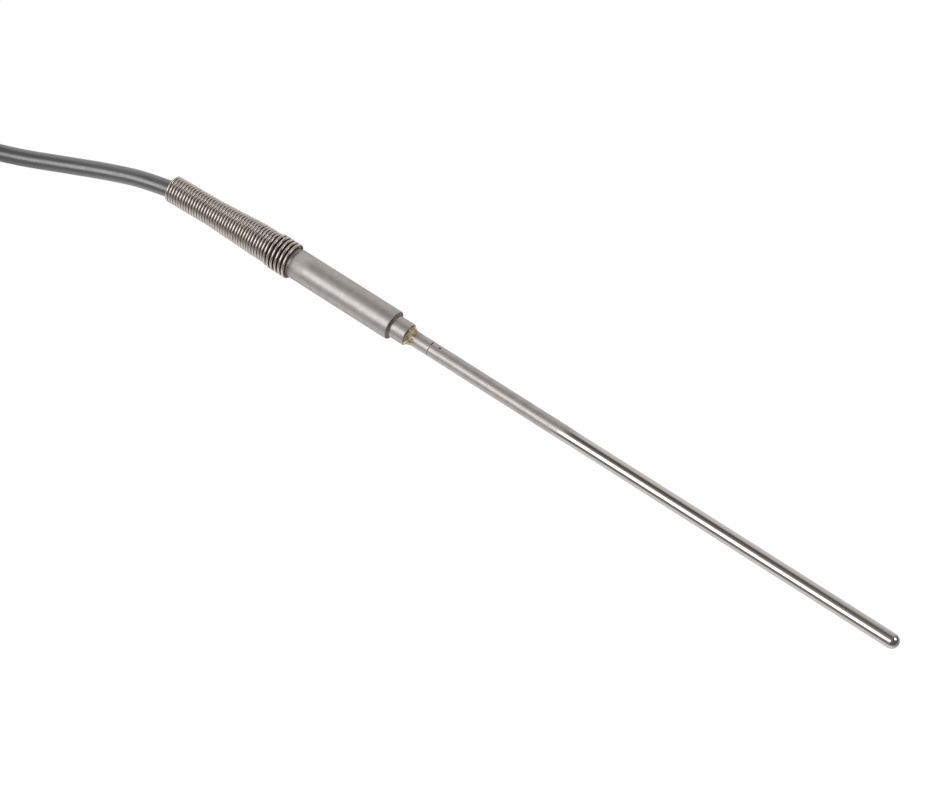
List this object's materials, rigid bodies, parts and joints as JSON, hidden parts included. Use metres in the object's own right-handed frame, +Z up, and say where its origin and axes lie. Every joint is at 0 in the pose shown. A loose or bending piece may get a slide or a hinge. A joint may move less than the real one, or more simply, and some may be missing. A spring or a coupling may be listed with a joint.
{
  "type": "thermocouple probe",
  "caption": "Straight sheathed thermocouple probe with a stepped steel sleeve, coil-spring strain relief and a tied round lead ending in a round-pin plug.",
  "frame": {"origin": "on the probe's axis, in the plane of the sleeve's shoulder", "axes": "+X along the probe towards its tip, +Z up as it lies on a table"},
  "size_m": [0.6509, 0.057, 0.0192],
  "materials": {
    "satin_steel": "satin, fine drawn grain along the tube",
    "polished_steel": "mirror polished",
    "spring_steel": "bright drawn wire",
    "braze_alloy": "as brazed, satin",
    "cable_jacket": "smooth matt grey",
    "plug_plastic": "moulded, fine grain",
    "pin_alloy": "turned",
    "screw_steel": "nickel plated",
    "thermo_alloy": "drawn wire",
    "ceramic": "fired, unglazed",
    "cement": "dry cement",
    "resin": "cast resin",
    "crimp_metal": "tinned",
    "sleeving": "shrunk sleeving",
    "core_green": "core insulation",
    "core_white": "core insulation",
    "tie_plastic": "moulded strap"
  },
  "bodies": {
    "probe": {"sheath_tube": "satin_steel", "tip_plug": "polished_steel", "hot_junction": "thermo_alloy", "thermo_wire_positive": "thermo_alloy", "thermo_wire_negative": "thermo_alloy", "insulator_beads": "ceramic", "sheath_seal": "cement", "transition_sleeve": "satin_steel", "braze_fillet": "braze_alloy", "splice_crimps": "crimp_metal", "splice_sleeving": "sleeving", "core_conductor_positive": "thermo_alloy", "core_conductor_negative": "thermo_alloy", "core_insulation_positive": "core_green", "core_insulation_negative": "core_white", "cable_stub": "cable_jacket", "strain_spring": "spring_steel", "potting": "resin"},
    "lead": {"cable": "cable_jacket", "cable_hank": "cable_jacket", "cable_tie": "tie_plastic", "cable_tail": "cable_jacket", "plug_base": "plug_plastic", "plug_cover": "plug_plastic", "plug_pin_positive": "pin_alloy", "plug_pin_negative": "pin_alloy", "plug_core_positive": "core_green", "plug_core_negative": "core_white", "terminal_screws": "screw_steel", "cover_screws": "screw_steel", "cord_clamp": "plug_plastic", "clamp_screws": "screw_steel"}
  },
  "joints": [
    {"name": "strain_relief_bend", "type": "hinge", "parent": "probe", "child": "lead", "pos_m": [-0.085, 0, 0], "axis": [0, 0, 1], "range_deg": [-30, 30], "stiffness_Nm_per_rad": 0.1, "deforming": ["strain_spring"]}
  ]
}
